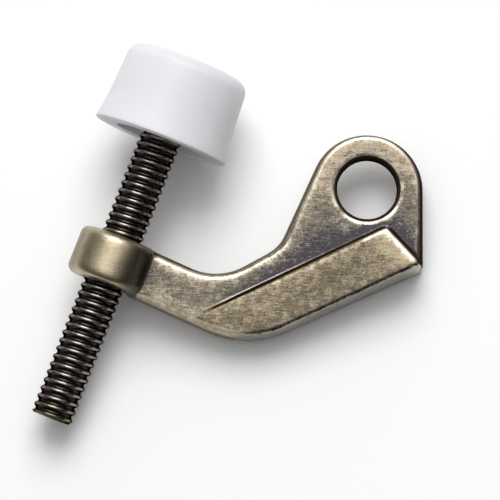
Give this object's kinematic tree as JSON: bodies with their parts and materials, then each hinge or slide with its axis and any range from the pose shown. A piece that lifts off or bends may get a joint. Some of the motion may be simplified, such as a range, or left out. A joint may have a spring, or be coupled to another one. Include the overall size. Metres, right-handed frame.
{
  "type": "hinge pin door stop",
  "caption": "Cast lever arm with an eye for a hinge pin, a wedge-shaped stop block and a threaded boss, with an adjusting screw that carries a white bumper cap.",
  "frame": {"origin": "on the axis of the hinge pin's hole, level with the axis of the adjusting screw", "axes": "+Z along the hinge pin's hole, out of the face that carries the stop block; +X from the adjusting screw toward the eye, across the arm; +Y the side on which the bumper cap stands"},
  "size_m": [0.0585, 0.0574, 0.0208],
  "materials": {
    "antique_brass": "antique brass plating with dark patina and burnished edges",
    "dark_bronze": "dark bronze plating, brighter on the thread's crests",
    "white_bumper": "satin moulded white"
  },
  "bodies": {
    "arm": {"arm_casting": "antique_brass"},
    "bumper": {"bumper_cap": "white_bumper"},
    "rod": {"threaded_rod": "dark_bronze"}
  },
  "joints": [
    {"name": "bumper_slide", "type": "slide", "parent": "arm", "child": "bumper", "axis": [0.3633, 0.9317, 0], "range_m": [-0.01397, 0.01905]},
    {"name": "rod_turn", "type": "hinge", "parent": "bumper", "child": "rod", "pos_m": [-0.0381, -0.01065, 0], "axis": [0.3633, 0.9317, 0], "range_deg": [-3961, 5401]}
  ],
  "couplings": [
    {"joint": "rod_turn", "follows": "bumper_slide", "rad_per_m": 4947.4}
  ]
}
